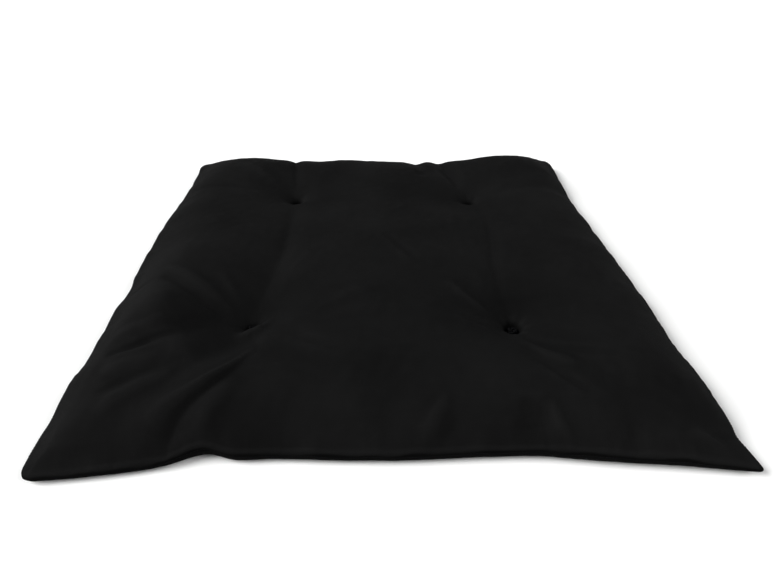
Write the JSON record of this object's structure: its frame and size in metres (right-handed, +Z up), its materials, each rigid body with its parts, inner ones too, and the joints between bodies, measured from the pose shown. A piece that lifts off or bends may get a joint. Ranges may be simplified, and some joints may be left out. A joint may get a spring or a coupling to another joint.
{
  "type": "zabuton",
  "caption": "Flat, near-square cotton floor cushion with a knife-edge seam, a soft uneven crown and tied tufts in a square.",
  "frame": {"origin": "centre of the mat's outline, on the floor that it rests on", "axes": "+Z up from the floor, +Y from the front edge to the back edge, +X to the right as seen from the front"},
  "size_m": [0.73, 0.76, 0.0655],
  "materials": {
    "cotton": "black plain-woven cotton canvas, matte with a soft sheen",
    "thread": "black waxed cotton tufting thread, matte"
  },
  "bodies": {
    "root": {"mat": "cotton", "tuft_front_left": "thread", "tuft_front_right": "thread", "tuft_back_left": "thread", "tuft_back_right": "thread"}
  },
  "joints": []
}
